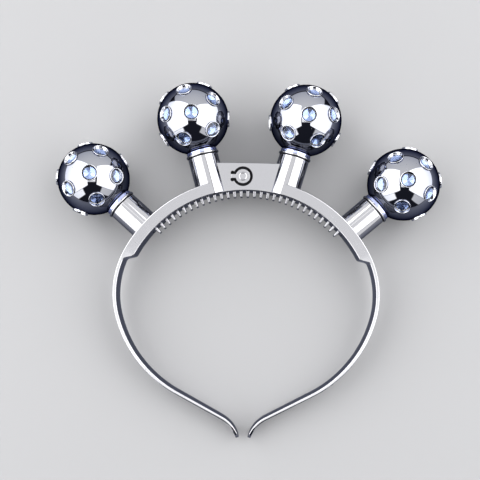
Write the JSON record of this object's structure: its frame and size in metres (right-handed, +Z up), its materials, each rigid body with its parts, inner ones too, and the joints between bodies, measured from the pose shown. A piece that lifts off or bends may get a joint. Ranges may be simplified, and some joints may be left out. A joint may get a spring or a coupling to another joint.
{
  "type": "light-up headband",
  "caption": "Chrome-plated open hair hoop whose front housing carries a press-button switch box and posts topped with mirror balls set with pale blue cut stones.",
  "frame": {"origin": "middle of the box that the resting headband fills, on the surface that it lies on", "axes": "+X along the row of balls, +Y from the hoop's tips towards the balls, +Z up, out of the face with the button"},
  "size_m": [0.1896, 0.1732, 0.0403],
  "materials": {
    "chrome": "bright chrome plating on moulded plastic",
    "comb": "satin chrome plating",
    "mirror_ball": "mirror plating with a cool tint",
    "stone": "clear pale blue cut acrylic"
  },
  "bodies": {
    "frame": {"headband": "chrome", "comb": "comb", "collar_1": "chrome", "collar_2": "chrome", "collar_3": "chrome", "collar_4": "chrome", "ball_1": "mirror_ball", "ball_2": "mirror_ball", "ball_3": "mirror_ball", "ball_4": "mirror_ball"},
    "button": {"button": "chrome"}
  },
  "joints": [
    {"name": "button_press", "type": "hinge", "parent": "frame", "child": "button", "pos_m": [-0.00804, 0.03933, 0.02285], "axis": [0, 0.9937, 0.1119], "range_deg": [0, 5], "stiffness_Nm_per_rad": 0.13}
  ]
}
